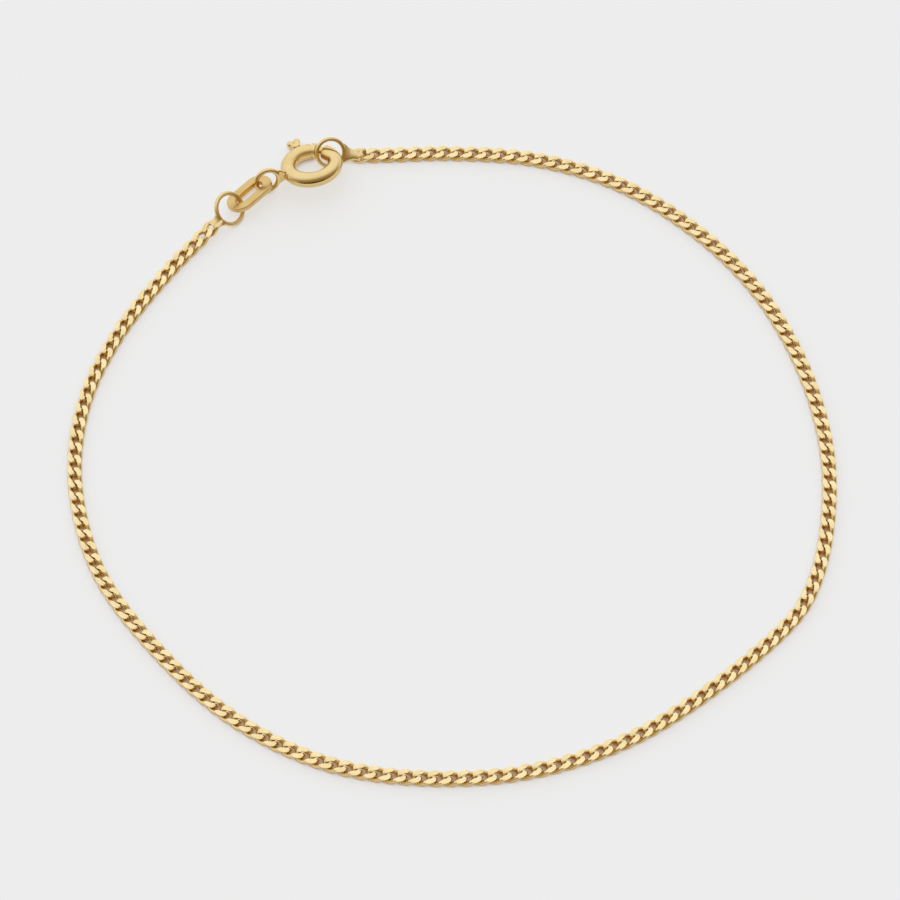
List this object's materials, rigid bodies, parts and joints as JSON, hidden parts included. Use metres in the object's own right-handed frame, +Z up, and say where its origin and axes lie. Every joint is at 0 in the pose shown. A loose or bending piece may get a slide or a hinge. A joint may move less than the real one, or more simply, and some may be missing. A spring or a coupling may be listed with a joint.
{
  "type": "curb chain bracelet",
  "caption": "Fine filed-curb chain bracelet, closed with a sprung ring clasp and a tag link, lying flat in an open loop.",
  "frame": {"origin": "on the surface under the middle of the bracelet's box", "axes": "+Z up from the surface that the bracelet lies on, +Y towards the clasp's side, +X to the right of the clasp"},
  "size_m": [0.0601, 0.0587, 0.0025],
  "materials": {
    "chain_gold": "yellow gold, filed facets polished bright",
    "clasp_gold": "yellow gold, polished",
    "soldered_gold": "yellow gold, polished wire with soft solder beads"
  },
  "bodies": {
    "bracelet": {"chain": "chain_gold", "end_ring_right": "soldered_gold", "end_ring_left": "soldered_gold", "tag_link": "clasp_gold", "spring_ring": "clasp_gold"},
    "bolt": {"spring_bolt": "clasp_gold"}
  },
  "joints": [
    {"name": "bolt_slide", "type": "hinge", "parent": "bracelet", "child": "bolt", "pos_m": [-0.01134, 0.02606, 0.00129], "axis": [-0.1032, 0.3175, 0.9426], "range_deg": [0, 40], "stiffness_Nm_per_rad": 0.000002, "springref_deg": -34.38}
  ]
}
